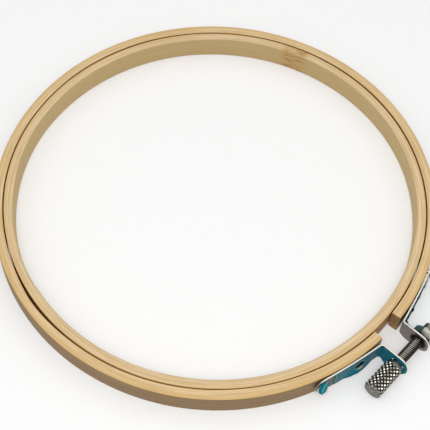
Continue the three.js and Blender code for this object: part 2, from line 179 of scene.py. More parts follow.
# Inner ring: a strip split from a bamboo culm, planed, bent round and scarfed: the bevelled ends are glued
# flat on each other at the left. It is bare sanded bamboo, with the pale pith side inwards and the denser
# skin side outwards, and one of the culm's nodes shows as a brown mark at the right.
RING_LOW, RING_HIGH = (corner.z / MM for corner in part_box("inner_ring"))
INNER_RING_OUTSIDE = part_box("inner_ring")[1].x / MM
INNER_RING_WALL = 3.5
INNER_RING_EDGES = (0.6, 0.35)
RING_STEPS = 720
SHARP_EDGE = 40
SCARF = (152.7, 165.4)
SCARF_RECESS, SCARF_STEP = 0.25, 0.35
GLUE_LINE, GLUE_CORE = 0.14, 0.04
INNER_WAVE = 0.05
THINNED = ((-8, 24, 0.22), (67, 16, 0.14))
NODE_MARK_ANGLE, NODE_MARK_REACH, NODE_MARK_CORE = 17.6, 7.5, 3.0


def clamp(value):
    return min(max(value, 0), 1)


def ring_section(wall, roundings, corner_steps=5, face_steps=4):
    """The strip's cross-section as (depth from the inner face, height), anticlockwise from the lower inner
    corner. Its edges are rounded by one radius on the inner face and another on the outer."""
    inner, outer = roundings
    low, high = RING_LOW, RING_HIGH
    corners = [(inner, low + inner, 180, inner), (wall - outer, low + outer, 270, outer),
               (wall - outer, high - outer, 0, outer), (inner, high - inner, 90, inner)]
    points = []
    for number, (depth, height, start, rounding) in enumerate(corners):
        for step in range(corner_steps + 1):
            angle = math.radians(start + 90 * step / corner_steps)
            points.append((depth + rounding * math.cos(angle), height + rounding * math.sin(angle)))
        next_depth, next_height, next_start, next_rounding = corners[(number + 1) % 4]
        angle = math.radians(next_start)
        end = (next_depth + next_rounding * math.cos(angle), next_height + next_rounding * math.sin(angle))
        begin = points[-1]
        for step in range(1, face_steps):
            share = step / face_steps
            points.append((begin[0] + (end[0] - begin[0]) * share, begin[1] + (end[1] - begin[1]) * share))
    return points


def shade_smoothly(mesh, sharp_edge=None):
    mesh.polygons.foreach_set("use_smooth", [True] * len(mesh.polygons))
    if sharp_edge:
        mesh.set_sharp_from_angle(angle=math.radians(sharp_edge))


def add_piece(name, mesh, material):
    mesh.materials.append(material)
    piece = bpy.data.objects.new(name, mesh)
    bpy.context.scene.collection.objects.link(piece)
    return piece


def bent_strip(name, section, angles, face_at, closed):
    """Carries the section round the rings' centre. face_at gives the inner face's radius and the wall's
    stretch at an angle. The strip's own coordinates, which are the length along it, the depth and the height,
    are kept at each corner, and its sawn ends are marked."""
    points, strip = [], []
    for angle in angles[:-1] if closed else angles:
        radius, stretch = face_at(angle)
        direction = Vector((math.cos(math.radians(angle)), math.sin(math.radians(angle)), 0))
        for depth, height in section:
            point = direction * (radius + depth * stretch) + Vector((0, 0, height))
            points.append(point * MM + RING_CENTRE)
    count, rows = len(section), len(angles)
    lengths = [math.radians(angle) * INNER_RING_OUTSIDE for angle in angles]
    faces = []
    for row in range(rows - 1):
        here, there = row * count, (row + 1) % (rows - 1 if closed else rows) * count
        along, onward = lengths[row], lengths[row + 1]
        for i in range(count):
            j = (i + 1) % count
            faces.append((here + i, there + i, there + j, here + j))
            strip += [(along, *section[i]), (onward, *section[i])]
            strip += [(onward, *section[j]), (along, *section[j])]
    if not closed:
        last = (rows - 1) * count
        faces.append(tuple(range(count)))
        strip += [(lengths[0], *point) for point in section]
        faces.append(tuple(last + i for i in reversed(range(count))))
        strip += [(lengths[-1], *point) for point in reversed(section)]
    mesh = bpy.data.meshes.new(name)
    mesh.from_pydata(points, [], faces)
    kept = mesh.attributes.new("strip", "FLOAT_VECTOR", "CORNER")
    kept.data.foreach_set("vector", [value * MM for place in strip for value in place])
    sawn = mesh.attributes.new("sawn", "FLOAT", "FACE")
    sawn.data.foreach_set("value", [float(len(face) > 4) for face in faces])
    shade_smoothly(mesh, SHARP_EDGE)
    return mesh


def coat(tree, below, above, value, low, high, most=1.0, curve="SMOOTHSTEP"):
    """A colour laid over another. Its share grows from none to most as the value goes from low to high."""
    share = node(tree, "MapRange", {"Value": value, "From Min": low, "From Max": high, "To Max": most},
                 interpolation_type=curve)
    return node(tree, "Mix", {0: share, 6: below, 7: above}, data_type="RGBA")


def bamboo(name, wall, pale, fibre, skin_edge, pith_face_and_shade, skin_face_and_shade, face_edges, node_mark=None, scarf=None):
    """Sanded bamboo: long straight fibres that show as fine lines about a third of a millimetre wide, paler
    towards the pith and golden towards the skin, where the fibres stand closest. Its inner and outer faces are
    darker than its edges, from the depths in face_edges on: partly the bamboo's own darker faces, partly
    painted shade on the walls, on the rounded edges the colour reaches into and in the seam between the rings.
    Its sawn ends are brown with the fibres' dark dots."""
    made, tree = new_material(name)
    strip = node(tree, "Attribute", attribute_name="strip").outputs["Vector"]
    along, depth = node(tree, "SeparateXYZ", {0: strip}).outputs[:2]

    def fibres(length, width, detail):
        """Cloudy light and dark drawn out along the strip, from its streaks' length and width."""
        scale = (1 / (length * MM), 1 / (width * MM), 1 / (width * MM))
        stretched_and_sheen = node(tree, "VectorMath", {0: strip, 1: scale}, operation="MULTIPLY")
        return node(tree, "TexNoise", {"Vector": stretched_and_sheen, "Scale": 1.0, "Detail": detail, "Roughness": 0.6})

    streaks = fibres(length=32, width=0.5, detail=3)
    bundles = fibres(length=9, width=0.16, detail=2)
    bands = fibres(length=140, width=1.5, detail=1)
    colour = coat(tree, linear(fibre), linear(pale), streaks, 0.36, 0.64)
    golden = node(tree, "MapRange", {"Value": bands, "From Min": 0.3, "From Max": 0.6, "To Min": 0.35,
                                     "To Max": 1.0}, interpolation_type="SMOOTHSTEP")
    colour = coat(tree, colour, linear(skin_edge), depth, 0.5 * wall * MM, 0.92 * wall * MM, golden)
    colour = coat(tree, colour, linear(fibre), bands, 0.3, 0.7, 0.35)
    # Face colours: the bamboo's own darker faces, plus painted shade on the walls, their rounded edges and the
    # seam
    pith_depth, skin_depth = face_edges
    colour = coat(tree, colour, linear(pith_face_and_shade), depth, pith_depth * MM, 0.2 * pith_depth * MM)
    colour = coat(tree, colour, linear(skin_face_and_shade), depth, (wall - skin_depth) * MM,
                  (wall - 0.2 * skin_depth) * MM)
    colour = coat(tree, colour, linear(pale), streaks, 0.45, 0.7, 0.175)
    colour = coat(tree, colour, linear("#7d5c33"), bundles, 0.42, 0.32, 0.375)
    if node_mark:
        away = node(tree, "Math", {0: along, 1: node_mark * MM}, operation="SUBTRACT")
        away = node(tree, "Math", {0: away}, operation="ABSOLUTE")
        reach, core = NODE_MARK_REACH * MM, NODE_MARK_CORE * MM
        colour = coat(tree, colour, linear("#cba262"), away, reach, core, 0.5)
        dashes = node(tree, "MapRange", {"Value": fibres(length=6, width=0.38, detail=2), "From Min": 0.48,
                                         "From Max": 0.6, "To Max": 0.8}, interpolation_type="SMOOTHSTEP")
        colour = coat(tree, colour, linear("#94682e"), away, reach, core, dashes)
    if scarf:
        start, end = (math.radians(angle) * INNER_RING_OUTSIDE * MM for angle in scarf)
        bevel = node(tree, "MapRange", {"Value": along, "From Min": start, "From Max": end,
                                        "To Min": wall * MM, "To Max": 0.0}, clamp=False)
        away = node(tree, "Math", {0: depth, 1: bevel}, operation="SUBTRACT")
        away = node(tree, "Math", {0: away}, operation="ABSOLUTE")
        colour = coat(tree, colour, linear("#8f6c40"), away, GLUE_LINE * MM, GLUE_CORE * MM, 0.25)
    dots = fibres(length=0.3, width=0.3, detail=1)
    end_grain = coat(tree, linear("#ad8855"), linear("#79593a"), dots, 0.5, 0.62)
    sawn = node(tree, "Attribute", attribute_name="sawn").outputs["Fac"]
    colour = node(tree, "Mix", {0: sawn, 6: colour, 7: end_grain}, data_type="RGBA")
    grooves = node(tree, "Math", {0: streaks, 1: bundles}, operation="ADD")
    bump = node(tree, "Bump", {"Strength": 0.5, "Distance": 0.06 * MM, "Height": grooves})
    rough = node(tree, "MapRange", {"Value": streaks, "To Min": 0.5, "To Max": 0.68})
    wood = node(tree, "BsdfPrincipled", {"Base Color": colour, "Roughness": rough, "Normal": bump,
                                         "Specular IOR Level": 0.35})
    node(tree, "OutputMaterial", {"Surface": wood})
    return made


def inner_face(angle):
    """Inner face's radius of the inner ring, recessed along the scarf's thin end, and the wall's share of its
    full thickness. Planed and bent by hand, the strip is slightly uneven and thinner in two places."""
    wave = INNER_WAVE * math.sin(math.radians(3 * angle + 40)) * math.sin(math.radians(5 * angle))
    into = clamp((angle - SCARF[0]) / SCARF_STEP) * clamp((SCARF[1] - angle) / SCARF_STEP)
    face = INNER_RING_OUTSIDE - INNER_RING_WALL + wave + SCARF_RECESS * into
    thinned = sum(amount * math.exp(-((angle - middle) / spread) ** 2) for middle, spread, amount in THINNED)
    return face, (INNER_RING_OUTSIDE - thinned - face) / INNER_RING_WALL


turn_start = SCARF[1] - 360
angles = {turn_start + 360 * step / RING_STEPS for step in range(RING_STEPS + 1)}
angles |= {SCARF[0], SCARF[0] + SCARF_STEP, SCARF[1] - SCARF_STEP}
# The pith face's colour runs half a millimetre into the rounded inner edges as painted shade; the skin face's,
# in the seam, is partly painted shade
inner_bamboo = bamboo("sanded bamboo, inner strip", INNER_RING_WALL, pale="#e8d0a8", fibre="#d2b282",
                      skin_edge="#dbba80", pith_face_and_shade="#c2a874", skin_face_and_shade="#ad7d40",
                      face_edges=(0.5, 0.16), scarf=SCARF,
                      node_mark=math.radians(NODE_MARK_ANGLE) * INNER_RING_OUTSIDE)
inner_section = ring_section(INNER_RING_WALL, INNER_RING_EDGES)
inner_mesh = bent_strip("inner_ring_strip", inner_section, sorted(angles), inner_face, closed=True)
inner_ring = add_piece("inner_ring_strip", inner_mesh, inner_bamboo)
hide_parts("inner_ring")
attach(inner_ring, "inner")

# Outer ring: one bamboo strip, bent round the inner ring and sawn off at both sides of the clamp. It springs
# open at the screw, so the one piece bends between the two sides at the back. Its darker skin side shows
# outwards, darkened further by painted shade, and at the left it stands a little away from the inner ring.
OUTER_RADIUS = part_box("outer_ring_left_half")[0].x / -MM
OUTER_RING_WALL = 3.6
OUTER_RING_EDGES = (0.4, 0.5)
CLAMP_ENDS = (4.25, 6.1)
WIDE_GAP_ANGLE, WIDE_GAP = -191.5, 0.55
WIDE_GAP_SPREADS = (7.0, 11.0)
NARROWING, NARROW_MIDDLE, NARROW_SPREAD = 0.16, -130.0, 28.0
BEND_ZONE = 4 * MM


def outer_face(angle):
    """Inner face's radius of the outer ring, and the wall's share of its full thickness."""
    left = angle - 360 if angle > 90 else angle
    face = OUTER_RADIUS - OUTER_RING_WALL
    spread = WIDE_GAP_SPREADS[left > WIDE_GAP_ANGLE]
    face += WIDE_GAP * math.exp(-((left - WIDE_GAP_ANGLE) / spread) ** 2)
    face -= NARROWING * math.exp(-((left - NARROW_MIDDLE) / NARROW_SPREAD) ** 2)
    return face, (OUTER_RADIUS - face) / OUTER_RING_WALL


left_end, right_end = (math.degrees(math.asin(x / OUTER_RADIUS)) for x in CLAMP_ENDS)
start, stop = -90 + right_end, 270 - left_end
angles = [start + (stop - start) * step / RING_STEPS for step in range(RING_STEPS + 1)]
# The skin face's colour is partly painted shade on the outer wall, and the pith face's partly painted shade in
# the seam
outer_bamboo = bamboo("sanded bamboo, outer strip", OUTER_RING_WALL, pale="#e8cda0", fibre="#d2b07a",
                      skin_edge="#d8b272", pith_face_and_shade="#936731", skin_face_and_shade="#8c6f49",
                      face_edges=(0.16, 0.18))
outer_section = ring_section(OUTER_RING_WALL, OUTER_RING_EDGES)
outer_mesh = bent_strip("outer_ring_strip", outer_section, angles, outer_face, closed=False)
outer_ring = add_piece("outer_ring_strip", outer_mesh, outer_bamboo)
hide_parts("outer_ring_left_half", "outer_ring_right_half")
back_y = RING_SHIFT + OUTER_RADIUS * MM
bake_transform(outer_ring, "left_side", "right_side", start=(-BEND_ZONE, back_y, 0), end=(BEND_ZONE, back_y, 0))

# Brackets: two mirrored strips of 0.6 mm rolled steel, blanked and punched, then bent once. The leg follows
# the outer ring, a shallow bow that touches it in one place, and the ear stands out with the screw's hole.
SIDES = {"left": (-1, "left_side"), "right": (1, "right_side")}
PLATE = 0.6
PLATE_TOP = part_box("right_bracket")[1].z / MM
EAR_INNER_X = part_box("right_bracket")[0].x / MM
EAR_TIP_Y = (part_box("right_bracket")[0].y - RING_SHIFT) / MM
EAR_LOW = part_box("right_bracket")[0].z / MM
LEG_HEIGHT = 8.1
LEG_LENGTH = 28.4
LEG_TILT = math.radians(14.3)
LEG_BOW_RADIUS = 238
LEG_SEAT_GAP = 0.2
LEG_CUT_SPACING, BEND_CUTS = 1.6, 14
BEND_INSIDE = 0.8
EAR_SHOULDER = 2
EAR_CORNER = 3.8
SPARE_HOLE_ALONG, SPARE_HOLE_RADIUS, SPARE_HOLE_SHADE = 10, 2.2, 0.14
RIVET_ALONG, RIVET_HOLE_RADIUS = 25.8, 1.25
SCREW_HOLE_RADIUS, SCREW_HOLE_SHADE = 2.6, 0.9
HOLE_SHADE_CORE = 0.6
SCREW_AXIS_Y = ((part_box("thumbscrew")[0].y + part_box("thumbscrew")[1].y) / 2 - RING_SHIFT) / MM
MID_HEIGHT = (RING_LOW + RING_HIGH) / 2
LEG_MIDDLE = PLATE_TOP - LEG_HEIGHT / 2
CUT_EDGE_ROUNDING, CUT_EDGE_STEPS = 0.09, 3
CUT_EDGE_FADE, OUTER_FACE_FADE = (0.01, 0.05), (0.05, 0.02)
FILM_TORN_ALONG, ADHESIVE_RUN = 20.6, 1
TAIL_DULL, TAIL_DULL_RUN = 0.7, (RIVET_ALONG - 2, RIVET_ALONG + 1)
OIL_BLOTCH, ROLLING_LINE = 2.2, (6, 0.12, 0.3)


def on_circle(centre, angle, radius):
    """A point of the plan view at an angle from the -Y direction towards +X."""
    return Vector((math.sin(angle), -math.cos(angle))) * radius + centre


bow_centre = on_circle(Vector((0, 0)), LEG_TILT, OUTER_RADIUS + LEG_SEAT_GAP - LEG_BOW_RADIUS)
corner_angle = math.asin((EAR_INNER_X - bow_centre.x) / LEG_BOW_RADIUS)
corner_y = on_circle(bow_centre, corner_angle, LEG_BOW_RADIUS).y
bend_reach = BEND_INSIDE + PLATE
bend_start = math.asin((EAR_INNER_X + bend_reach - bow_centre.x) / (LEG_BOW_RADIUS + bend_reach))
bend_centre = on_circle(bow_centre, bend_start, LEG_BOW_RADIUS + bend_reach)
bend_along = (bend_start - corner_angle) * LEG_BOW_RADIUS
bend_length = (math.pi / 2 - bend_start) * bend_reach


def strip_place(travel):
    """Plan point on the plate's ring side and its outward direction. Travel is 0 where the leg meets the
    bend, grows towards the leg's tail and is negative round the bend and along the ear."""
    if travel >= 0:
        angle = bend_start + travel / LEG_BOW_RADIUS
        return on_circle(bow_centre, angle, LEG_BOW_RADIUS), on_circle(Vector((0, 0)), angle, 1)
    if travel > -bend_length:
        out = on_circle(Vector((0, 0)), bend_start - travel / bend_reach, 1)
        return bend_centre - out * bend_reach, out
    return Vector((EAR_INNER_X, bend_centre.y + travel + bend_length)), Vector((1, 0))


def leg_travel(along):
    return along - bend_along


def ear_travel(y):
    return y - bend_centre.y - bend_length


def arc(centre, radius, start, end, steps):
    turns = [math.radians(start + (end - start) * i / steps) for i in range(steps + 1)]
    return [Vector((centre[0] + radius * math.cos(a), centre[1] + radius * math.sin(a))) for a in turns]


def bracket_outline(length, inset=0.0, square_tail=False):
    """The flat blank's outline as (travel, height), anticlockwise, inside the plate's edge by the inset."""
    top = PLATE_TOP - inset
    leg_low, ear_low = PLATE_TOP - LEG_HEIGHT + inset, EAR_LOW + inset
    shoulder = ear_travel(corner_y - PLATE)
    tip = ear_travel(EAR_TIP_Y) + inset
    radius = EAR_CORNER - inset
    points = arc((tip + radius, ear_low + radius), radius, 180, 270, 14)
    points += [Vector((shoulder - EAR_SHOULDER, ear_low)), Vector((shoulder, leg_low))]
    tail, tail_radius = leg_travel(length), (top - leg_low) / 2
    if square_tail:
        points += [Vector((tail, leg_low)), Vector((tail, top))]
    else:
        points += arc((tail - tail_radius, leg_low + tail_radius), tail_radius, -90, 90, 28)
    points += arc((tip + radius, top - radius), radius, 90, 180, 14)
    return points


def hole(travel, height, radius, steps=36):
    return list(reversed(arc((travel, height), radius, 0, 360, steps)[:-1]))


def inward(points, distance):
    """The closed loop moved to the left of its direction."""
    moved = []
    for i, point in enumerate(points):
        before = (point - points[i - 1]).normalized()
        after = (points[(i + 1) % len(points)] - point).normalized()
        left = Vector((-before.y - after.y, before.x + after.x))
        left.normalize()
        reach = distance / max(left.dot(Vector((-before.y, before.x))), 0.5)
        moved.append(point + left * reach)
    return moved


def sheet_blank(loops, thickness, rounding, round_steps):
    """A flat sheet from its outline and holes, as (travel, height, thickness), with rounded cut edges."""
    blank = bmesh.new()
    turns = [math.pi / 2 * i / round_steps for i in range(round_steps + 1)]
    levels = [(rounding * (1 - math.sin(turn)), rounding * (1 - math.cos(turn))) for turn in turns]
    levels += [(inset, thickness - level) for inset, level in reversed(levels)]
    rims = [[], []]
    for loop in loops:
        rings = []
        for inset, level in levels:
            rings.append([blank.verts.new((*point, level)) for point in inward(loop, inset)])
        for lower, upper in zip(rings, rings[1:]):
            for i in range(len(loop)):
                j = (i + 1) % len(loop)
                blank.faces.new((lower[i], lower[j], upper[j], upper[i]))
        rims[0].append(rings[0])
        rims[1].append(rings[-1])
    for side, rim in enumerate(rims):
        corners = [vert for ring in rim for vert in ring]
        for triangle in tessellate_polygon([[vert.co for vert in ring] for ring in rim]):
            face = [corners[i] for i in triangle]
            first, second, third = (vert.co for vert in face)
            turn_up = (second - first).cross(third - first).z
            if abs(turn_up) < 1e-9:
                continue
            blank.faces.new(face if (turn_up > 0) == (side == 1) else list(reversed(face)))
    return blank


def slice_blank(blank, cuts, direction):
    for cut in cuts:
        parts = blank.verts[:] + blank.edges[:] + blank.faces[:]
        bmesh.ops.bisect_plane(blank, geom=parts, dist=1e-5, plane_co=Vector(direction) * cut,
                               plane_no=direction)


def steps_between(low, high, size):
    count = max(1, round((high - low) / size))
    return [low + (high - low) * i / count for i in range(count + 1)]


def mesh_of(shape, name, sharp_edge=None):
    mesh = bpy.data.meshes.new(name)
    shape.to_mesh(mesh)
    shape.free()
    shade_smoothly(mesh, sharp_edge)
    return mesh


def bend_blank(blank, name, side, lift=None):
    """Bends the flat sheet to the bracket's path, on the nut's side (1) or the knob's side (-1)."""
    flat = blank.verts.layers.float_vector.new("flat")
    for vert in blank.verts:
        travel, height, level = vert.co
        vert[flat] = vert.co * MM
        if lift:
            travel, height, level = lift(travel, height, level)
        point, out = strip_place(travel)
        place = point + out * level
        vert.co = Vector((side * place.x, place.y, height)) * MM + RING_CENTRE
    if side < 0:
        bmesh.ops.reverse_faces(blank, faces=blank.faces)
    return mesh_of(blank, name)


def sheet_steel(name):
    """Bright cold-rolled sheet: fine rolling lines along the strip, a dull grey-brown film of oil on the faces
    and white bright cut edges where the blanking die sheared it. Painted shade darkens the holes' walls and a
    ring round each hole, widest round the screw; the torn film has left its dull adhesive on the leg, and the
    tail is dull. The rolling lines are drawn a tenth of a millimetre wide, as real ones are too fine to show."""
    made, tree = new_material(name)
    flat = node(tree, "Attribute", attribute_name="flat").outputs["Vector"]
    travel, _, level = node(tree, "SeparateXYZ", {0: flat}).outputs
    blotch = node(tree, "TexNoise", {"Vector": flat, "Scale": 1 / (OIL_BLOTCH * MM), "Detail": 4.0,
                                     "Roughness": 0.6})
    colour = node(tree, "Mix", {0: blotch, 6: linear("#716b63"), 7: linear("#8b857b")}, data_type="RGBA")
    from_middle = node(tree, "Math", {0: level, 1: PLATE / 2 * MM}, operation="SUBTRACT")
    from_middle = node(tree, "Math", {0: from_middle}, operation="ABSOLUTE")
    low, high = ((PLATE / 2 - depth) * MM for depth in CUT_EDGE_FADE)
    colour = coat(tree, colour, linear("#f4f0e6"), from_middle, low, high, curve="LINEAR")
    low, high = ((PLATE - depth) * MM for depth in OUTER_FACE_FADE)
    outer = node(tree, "MapRange", {"Value": level, "From Min": low, "From Max": high})
    low, high = (leg_travel(along) * MM for along in (FILM_TORN_ALONG - ADHESIVE_RUN, FILM_TORN_ALONG))
    colour = coat(tree, colour, linear("#4d4f45"), travel, low, high, outer, "LINEAR")
    low, high = (leg_travel(along) * MM for along in TAIL_DULL_RUN)
    colour = coat(tree, colour, linear("#7a746a"), travel, low, high, TAIL_DULL, "LINEAR")
    in_plane = node(tree, "VectorMath", {0: flat, 1: (1, 1, 0)}, operation="MULTIPLY")
    # Painted shade: the holes' walls and a ring round each hole turn near black
    shaded_holes = (((leg_travel(SPARE_HOLE_ALONG), LEG_MIDDLE), SPARE_HOLE_RADIUS, SPARE_HOLE_SHADE),
               ((ear_travel(SCREW_AXIS_Y), MID_HEIGHT), SCREW_HOLE_RADIUS, SCREW_HOLE_SHADE))
    for (along, height), radius, reach in shaded_holes:
        middle = (along * MM, height * MM, 0)
        away = node(tree, "VectorMath", {0: in_plane, 1: middle}, operation="DISTANCE")
        low, high = ((radius + share * reach) * MM for share in (1, HOLE_SHADE_CORE))
        colour = coat(tree, colour, linear("#1c1812"), away, low, high, curve="LINEAR")
    scale = [1 / (size * MM) for size in ROLLING_LINE]
    rolled = node(tree, "VectorMath", {0: flat, 1: scale}, operation="MULTIPLY")
    lines = node(tree, "TexNoise", {"Vector": rolled, "Scale": 1.0, "Detail": 3.0})
    rough = node(tree, "MapRange", {"Value": lines, "To Min": 0.3, "To Max": 0.5})
    bump = node(tree, "Bump", {"Strength": 0.3, "Distance": 0.01 * MM, "Height": lines})
    steel = node(tree, "BsdfPrincipled", {"Base Color": colour, "Metallic": 1.0, "Roughness": rough,
                                          "Normal": bump})
    node(tree, "OutputMaterial", {"Surface": steel})
    return made


bend_cuts = steps_between(-bend_length, 0, bend_length / BEND_CUTS)
leg_cuts = steps_between(0, leg_travel(LEG_LENGTH), LEG_CUT_SPACING)[1:-1]
rolled_sheet = sheet_steel("cold-rolled steel sheet, blanked")
for side_name, (side, body) in SIDES.items():
    holes = [hole(leg_travel(SPARE_HOLE_ALONG), LEG_MIDDLE, SPARE_HOLE_RADIUS),
             hole(leg_travel(RIVET_ALONG), MID_HEIGHT, RIVET_HOLE_RADIUS),
             hole(ear_travel(SCREW_AXIS_Y), MID_HEIGHT, SCREW_HOLE_RADIUS)]
    blank = sheet_blank([bracket_outline(LEG_LENGTH)] + holes, PLATE, CUT_EDGE_ROUNDING, CUT_EDGE_STEPS)
    slice_blank(blank, bend_cuts + leg_cuts, (1, 0, 0))
    name = side_name + "_bracket_sheet"
    bracket = add_piece(name, bend_blank(blank, name, side), rolled_sheet)
    # Flat faces stay flat, and only the rounded edges shade smoothly
    flat_faces = bracket.modifiers.new("flat faces", "WEIGHTED_NORMAL")
    flat_faces.keep_sharp = True
    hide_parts(side_name + "_bracket")
    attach(bracket, body)

# Films: the blue-green protective film that the sheet came with, left on the brackets' outward faces. It is
# torn off short of the rivet, has come loose round the spare hole and bridges the inside of the bend.
FILM, FILM_ROUNDING = 0.08, 0.02
FILM_STAND_OFF = 0.12
FILM_INSET = 0.2
FILM_GRID = 0.5
LEFT_FLARE_ALONG, LEFT_FLARE_REACH, LEFT_FLARE = 10.4, 6.1, 1.0
LEFT_WRINKLE, LEFT_WRINKLES, RIGHT_WRINKLES = 0.22, (0.55, 0.35, 3.0), (0.9, 0.3, 11.0)
EAR_CURL, EAR_CURL_REACH, EAR_CURL_RUN = 0.55, 3.0, 3.0
CORNER_REACH, LEFT_BRIDGE, RIGHT_BRIDGE = 1.6, 0.45, 0.72
RIGHT_LIFT, RIGHT_WAVES, RIGHT_SHEEN = 0.3, 0.5, 0.35
RIGHT_POINT_ALONG, RIGHT_POINT_REACH, RIGHT_POINT = 6.0, 1.5, 0.55
NUT_CLEAR, NUT_CLEAR_RUN = 1.8, 1.2
TEAR_RAGGED, TEAR_SPACING, TEAR_RATE, TEAR_SEED = 0.3, 0.45, 1.7, 3
TEAR_RADIUS = SPARE_HOLE_RADIUS - 0.2
SCREW_HOLE_IN_FILM = SCREW_HOLE_RADIUS + 0.15
STRETCHED, TEAR_STRETCHED, STRETCHED_PALE = 1.3, 0.52, 0.5
LOOSE_LIFT, EAR_LOOSENESS = 0.35, 0.85
FILM_BLOTCH, FILM_CREASE = 1.6, 0.9

# Unseeded, Blender's noise vectors follow the clock, and the film would tear differently in each run
noise.seed_set(TEAR_SEED)


def ragged(points, seed):
    """A torn edge: the line through the points, broken up and pushed about."""
    torn = []
    for first, second in zip(points, points[1:]):
        count = max(1, round((second - first).length / TEAR_SPACING))
        for i in range(count):
            point = first.lerp(second, i / count)
            shift = noise.noise_vector(Vector((point.x, point.y, seed)) * TEAR_RATE)
            torn.append(point + Vector((shift.x, shift.y)) * TEAR_RAGGED)
    return torn


def swell(value, middle, reach):
    return math.cos(math.pi / 2 * min(abs(value - middle) / reach, 1))


def wrinkle(travel, height, wrinkles):
    """Uneven creases, by their number in a millimetre along the film and up it, and a seed."""
    along, up, seed = wrinkles
    return noise.noise(Vector((travel * along, height * up, seed)))


def left_lift(travel, height, level):
    """The knob side's film: flared at its lower edge along the leg, and curled at the ear's lower edge."""
    down = clamp((PLATE_TOP - height) / LEG_HEIGHT)
    loose = swell(travel, leg_travel(LEFT_FLARE_ALONG), LEFT_FLARE_REACH)
    crease = max(wrinkle(travel, height, LEFT_WRINKLES), -0.2)
    lift = LEFT_FLARE * loose * down ** 2 + LEFT_WRINKLE * loose * (0.3 + down) * crease
    along_ear = clamp((-bend_length - travel) / EAR_CURL_RUN)
    lift += EAR_CURL * along_ear * max(0, 1 - (height - EAR_LOW) / EAR_CURL_REACH) ** 2
    lift += LEFT_BRIDGE * swell(travel, -bend_length / 2, CORNER_REACH) ** 2
    return travel, height, PLATE + FILM_STAND_OFF + lift + level


def right_lift(travel, height, level):
    """The nut side's film: its upper edge stands off in waves, to a point, and it lies flat by the nut."""
    up = clamp((height - PLATE_TOP + LEG_HEIGHT) / LEG_HEIGHT)
    point = swell(travel, leg_travel(RIGHT_POINT_ALONG), RIGHT_POINT_REACH)
    crease = max(wrinkle(travel, height, RIGHT_WRINKLES), -0.3)
    lift = (RIGHT_LIFT + RIGHT_WAVES * crease + RIGHT_POINT * point) * up ** 2
    lift += RIGHT_BRIDGE * swell(travel, -bend_length / 2, CORNER_REACH) ** 2
    lift *= clamp((travel + bend_length + NUT_CLEAR) / NUT_CLEAR_RUN)
    return travel, height, PLATE + FILM_STAND_OFF + lift + level


def protective_film(name, cling, loose_tint, stretched_and_sheen):
    """Polyethylene film, translucent blue-green: deep teal where it stands off, duller and greyer where it
    clings to the steel, pale where it was stretched until it tore, with fine wrinkles. The same pale colour
    also stands for a painted sheen along the nut side's leg and a painted highlight along the scrap's fold."""
    made, tree = new_material(name)
    flat = node(tree, "Attribute", attribute_name="flat").outputs["Vector"]
    loose = node(tree, "Attribute", attribute_name="loose").outputs["Fac"]
    pale = node(tree, "Attribute", attribute_name="stretched_and_sheen").outputs["Fac"]
    blotch = node(tree, "TexNoise", {"Vector": flat, "Scale": 1 / (FILM_BLOTCH * MM), "Detail": 4.0,
                                     "Roughness": 0.6})
    share = node(tree, "Math", {0: blotch, 1: 0.35, 2: -0.17}, operation="MULTIPLY_ADD")
    share = node(tree, "Math", {0: share, 1: loose}, operation="ADD", use_clamp=True)
    colour = node(tree, "Mix", {0: share, 6: linear(cling), 7: linear(loose_tint)}, data_type="RGBA")
    colour = coat(tree, colour, linear("#02485c"), blotch, 0.3, 0.7, 0.45, "LINEAR")
    colour = node(tree, "Mix", {0: pale, 6: colour, 7: linear(stretched_and_sheen)}, data_type="RGBA")
    crease = node(tree, "TexNoise", {"Vector": flat, "Scale": 1 / (FILM_CREASE * MM), "Detail": 3.0})
    bump = node(tree, "Bump", {"Strength": 0.35, "Distance": 0.06 * MM, "Height": crease})
    film = node(tree, "BsdfPrincipled", {"Base Color": colour, "Normal": bump, "Roughness": 0.35,
                                         "Specular IOR Level": 0.02})
    node(tree, "OutputMaterial", {"Surface": film})
    return made


